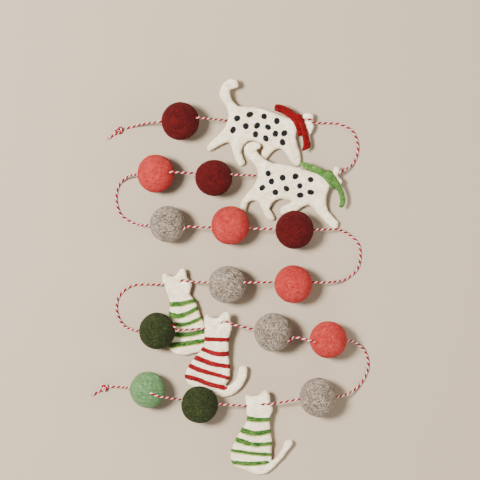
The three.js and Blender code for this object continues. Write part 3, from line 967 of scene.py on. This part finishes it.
def add_spot(bodies, skin, x, y, rng):
    """A low, ragged mound of wool with its underside sunk in the felt."""
    turn = 2 * np.pi * np.arange(SPOT_SIDES) / SPOT_SIDES
    lean, long = rng.uniform(0, np.pi), rng.uniform(1.0, 1.16)
    ragged = 1 + 0.03 * rng.normal(size=SPOT_SIDES)
    oval = 1 + (long - 1) * np.cos(2 * (turn - lean))
    reach = SPOT_RADIUS * rng.uniform(0.92, 1.08) * ragged * oval
    top, under = [], []
    for ring in range(1, SPOT_RINGS + 1):
        share = ring / SPOT_RINGS
        for a, r in zip(turn, reach):
            place, normal = skin.below(x + r * share * math.cos(a), y + r * share * math.sin(a))
            rise = (SPOT_HEIGHT * (1 - share**3) + 0.07 * MM) * rng.uniform(0.8, 1.1)
            top.append(place + normal * rise)
            under.append(place - normal * SUNK)
    place, normal = skin.below(x, y)
    rings = [*under, *np.reshape(top, (SPOT_RINGS, SPOT_SIDES, 3))[::-1].reshape(-1, 3)]
    low, high = len(rings), len(rings) + 1
    faces = ring_faces(2 * SPOT_RINGS, SPOT_SIDES)[:-2]
    for s in range(SPOT_SIDES):
        after, inner = (s + 1) % SPOT_SIDES, low - SPOT_SIDES
        faces += [[after, s, low], [inner + s, inner + after, high]]
    bodies.add([*rings, place - normal * SUNK, place + normal * SPOT_HEIGHT], faces)


def spot_fibres(bodies, skin, x, y, rng):
    """Dark fibres that reach from a spot over the white felt round it."""
    lines, ups = [], []
    for _ in range(SPOT_FIBRES):
        a = rng.uniform(0, 2 * np.pi)
        swing = rng.normal() * 1.2
        line, up = [], []
        for reach in np.linspace(0.75, rng.uniform(0.98, 1.2), 4):
            angle = a + swing * (reach - 0.75)
            r = SPOT_RADIUS * reach
            place, normal = skin.below(x + r * math.cos(angle), y + r * math.sin(angle))
            line.append(place + normal * 0.06 * MM)
            up.append(normal)
        lines.append(line)
        ups.append(up)
    add_fibres(bodies, lines, ups, 0.05 * MM * np.array([1.0, 1.0, 0.8, 0.3]), finish=1)


def add_spots(node, skin, seed):
    rng = np.random.default_rng(seed)
    bodies = Bodies()
    for x, y in SPOTS_MM[node]:
        add_spot(bodies, skin, x * MM, y * MM, rng)
        spot_fibres(bodies, skin, x * MM, y * MM, rng)
    piece = bodies.piece(f"spots_{node}", [WOOL["black"], FIBRES["black"]])
    return declare(piece)


def stripe_line(skin, path_mm):
    """A stripe's middle on the surface, edge to edge and a little way down each side."""
    plan = spaced(curve_through([(x * MM, y * MM, 0) for x, y in path_mm]), STRIPE_STEP)
    middle = skin.below(*plan[len(plan) // 2, :2])[0][2]
    targets = []
    for end, before in ((plan[0], plan[1]), (plan[-1], plan[-2])):
        out = unit(end - before)
        place, _ = skin.nearest(end + [0, 0, middle])
        targets.append([place + out * o * MM + [0, 0, down * MM] for o, down in WRAP_MM])
    on_top = []
    for x, y, _ in plan:
        place, _ = skin.below(x, y)
        if place is not None:
            on_top.append(place)
    line = np.array([*targets[0][::-1], *on_top, *targets[1]])
    line = spaced(curve_through(line, 3), STRIPE_STEP)
    return np.array([skin.nearest(p)[0] for p in line])


def add_stripe(bodies, skin, path_mm, left, right, rng, fringe=False):
    """A flat band of wool, or the thinner wool that shows as a fringe under its lower edge."""
    line = stripe_line(skin, path_mm)
    normals = np.array([skin.nearest(p)[1] for p in line])
    across = unit(np.cross(normals, directions(line)))
    share = along(line) / along(line)[-1]
    width = (left + (right - left) * share) * MM / 2
    height, finish = STRIPE_HEIGHT, 0
    if fringe:
        line = line - across * FRINGE_DROP
        height, finish = FRINGE_HEIGHT, 2
    width *= 1 + 0.13 * lumps(line, 2.5 * MM, int(rng.integers(99)))
    ends = np.clip(np.minimum(share, 1 - share) * along(line)[-1] / (1.2 * MM), 0.15, 1) ** 0.5
    offsets = np.linspace(-1, 1, STRIPE_ACROSS)
    top, under = [], []
    for i, place in enumerate(line):
        for k, offset in enumerate(offsets):
            edge = 0.1 * MM * rng.normal() if abs(offset) == 1 else 0
            reach = (width[i] * ends[i] + edge) * offset
            spot, normal = skin.nearest(place + across[i] * reach)
            rise = height * ends[i] * max(0.0, 1 - offset**4) * rng.uniform(0.8, 1.15)
            top.append(spot + normal * (rise + 0.04 * MM))
            under.append(spot - normal * SUNK)
    top, under = (np.reshape(side, (len(line), STRIPE_ACROSS, 3)) for side in (top, under))
    rings = np.concatenate([top[:, ::-1], under], axis=1)
    bodies.add(rings, ring_faces(len(line), 2 * STRIPE_ACROSS), finish)
    return line, across, normals, width


def stripe_fibres(bodies, skin, line, across, normals, width, rng, count, stray):
    """Fibres that run with a stripe and stray over its edges."""
    lines, ups = [], []
    for _ in range(count):
        start = int(rng.integers(1, len(line) - 8))
        side, drift = rng.uniform(-1, 1), rng.normal() * stray
        picked, up = [], []
        for j in range(5):
            i = start + j
            place, normal = skin.nearest(line[i] + across[i] * width[i] * (side * 1.02 + drift * j / 4))
            cover = STRIPE_HEIGHT * math.sqrt(max(0.0, 1 - min(1.0, abs(side + drift * j / 4)) ** 2))
            picked.append(place + normal * (cover + 0.06 * MM))
            up.append(normal)
        lines.append(picked)
        ups.append(up)
    add_fibres(bodies, lines, ups, 0.045 * MM * np.array([0.4, 1.0, 1.0, 0.9, 0.3]), finish=1)


def add_stripes(node, skin, seed):
    wool, stripes = STRIPES_MM[node]
    fringed = wool == "stripe_green"
    rng = np.random.default_rng(seed)
    bodies = Bodies()
    for path, left, right in stripes:
        if fringed:
            add_stripe(bodies, skin, path, left, right, rng, fringe=True)
        laid = add_stripe(bodies, skin, path, left, right, rng)
        for count, stray in STRIPE_FIBRES:
            stripe_fibres(bodies, skin, *laid, rng, count, stray)
    materials = [WOOL[wool], FIBRES[wool], *[WOOL["stripe_fringe"]] * fringed]
    return declare(bodies.piece(f"stripes_{node}", materials))


# ---- Scarves ----

SCARF_SIDES = 22
SCARF_STEP = 0.5 * MM

# Each scarf: the cat it is on and its slope, then the strip's middle line, from its long end down the
# front of the neck, behind it, over its top and down the front again: [x, y, height over the
# cat's underside], its width from end to end, and how far its last end is cut on the slant.
SCARVES = {
    "scarf_red": dict(
        cat="cat_walking_1", slope=(0, 0.1), wool="felt_red", thickness=2.0,
        path_mm=[
            (28.8, 136.0, 6.4), (33, 135.4, 6.4), (38, 133.2, 6.3), (42.6, 130.2, 6.2),
            (46.0, 126.2, 6.2), (48.2, 121.8, 6.2), (49.4, 117.8, 5.9), (49.9, 115.0, 4.0),
            (49.8, 115.2, 1.0), (49.6, 118, -1.4), (48.8, 123, -1.5), (48.0, 127.8, -1.3),
            (47.8, 129.8, 1.0), (47.9, 130.2, 4.2), (48.7, 128.4, 6.6), (50.4, 124.6, 7.2),
            (52.0, 120.4, 7.0), (53.5, 115, 6.5), (54.6, 109.6, 6.3), (55.0, 105.6, 6.3),
            (54.0, 102.0, 6.2),
        ],
        widths=[5.2, 6.4, 6.6, 6.4, 6.0, 5.6, 5.2, 4.8, 4.4, 4.4, 4.4, 4.4, 4.8, 5.2, 5.4, 5.4,
                5.4, 5.6, 6.4, 7.2, 6.6],
        slant=-0.7,
    ),
    "scarf_green": dict(
        cat="cat_walking_2", slope=(0.018, 0.125), wool="felt_green", thickness=1.9,
        path_mm=[
            (49.6, 91.8, 6.3), (54.1, 89.4, 6.3), (58.9, 87.2, 6.2), (64.2, 85.0, 6.2),
            (69.0, 82.0, 6.2), (72.4, 78.4, 6.2), (75.0, 75.1, 6.0), (76.6, 72.4, 4.2),
            (76.8, 72.0, 1.0), (75.8, 74.2, -1.4), (74.0, 78.4, -1.5), (72.4, 82.4, -1.3),
            (71.4, 84.6, 1.0), (71.6, 85.0, 4.2), (73.2, 83.2, 6.6), (75.8, 79.5, 7.1),
            (78.6, 75.2, 6.9), (81.3, 70.4, 6.5), (83.2, 65.2, 6.3), (83.8, 60.4, 6.3),
            (82.0, 55.8, 6.2),
        ],
        widths=[3.0, 5.2, 5.6, 5.2, 5.2, 5.2, 5.0, 4.6, 4.2, 4.2, 4.2, 4.2, 4.4, 4.8, 5.0, 5.2,
                5.2, 5.2, 5.4, 5.6, 4.2],
        slant=0.0,
    ),
}


def underside(cat, slope):
    """The height of a cat's underside plane at x, y."""
    points, _ = mesh_arrays(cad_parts[cat].data)
    rest = (points[:, 2] - points[:, :2] @ slope).min()
    return lambda x, y: rest + x * slope[0] + y * slope[1]


def add_scarf(node, cat, slope, wool, thickness, path_mm, widths, slant, seed):
    height = underside(cat, slope)
    places = [(x * MM, y * MM, z * MM + height(x * MM, y * MM)) for x, y, z in path_mm]
    rough = curve_through(places)
    line = spaced(rough, SCARF_STEP)
    stations = along(rough)[::PER_STRETCH] / along(rough)[-1]
    share = along(line) / along(line)[-1]
    width = np.interp(share, stations, widths) * MM / 2
    reach = np.minimum(share, 1 - share) * along(line)[-1]
    thinned, narrowed = (
        np.sqrt(np.clip(1 - (1 - np.clip(reach / (size * MM), 0, 1)) ** 2, 0.01, 1))
        for size in (1.6, 0.8)
    )
    sideways, upward = steady_frames(line, (0, 0, 1))
    half = thickness * MM / 2 * thinned
    rings = tube_points(line, sideways, upward, width * narrowed, half, SCARF_SIDES)
    out = unit(rings - line[:, None])
    aside = ((rings - line[:, None]) * sideways[:, None]).sum(axis=2)
    cut = slant * np.clip(1 - (along(line)[-1] - along(line)) / (5 * MM), 0, 1)
    rings += (aside * cut[:, None])[..., None] * directions(line)[:, None]
    flat = rings.reshape(-1, 3)
    rough_mm = 0.20 * lumps(flat, 2.8 * MM, seed) + 0.12 * lumps(flat, 1.1 * MM, seed + 3)
    rings = flat + out.reshape(-1, 3) * (rough_mm * MM)[:, None]
    rings[:, 2] = np.maximum(rings[:, 2], 0.1 * MM)
    bodies = Bodies()
    bodies.add(rings, ring_faces(len(line), SCARF_SIDES))
    scarf = bodies.piece(f"felt_{node}", [WOOL[wool]])
    declare(scarf, node)
    fuzz(f"felt_{node}_fibres", Skin(scarf), wool, seed, laid=140, laid_length=4 * MM,
         standing=300, length=0.7 * MM, radius=0.024 * MM)


# ---- The garland ----

add_studio()
BALL_SHAPE = unit_ball()
balls = sorted(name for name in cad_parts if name.startswith("ball_"))
for seed, node in enumerate(balls, start=1):
    add_ball(node, node.split("_", 2)[2], seed, BALL_SHAPE)

for seed, node in enumerate(sorted(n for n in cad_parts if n.startswith("cat_")), start=41):
    cat, loose, cat_skin = add_cat(node, seed)
    add_motif = add_spots if node in SPOTS_MM else add_stripes
    motif = add_motif(node, cat_skin, seed)
    cut, area = flat_cut(node)

for seed, (node, facts) in enumerate(SCARVES.items(), start=61):
    add_scarf(node, seed=seed, **facts)
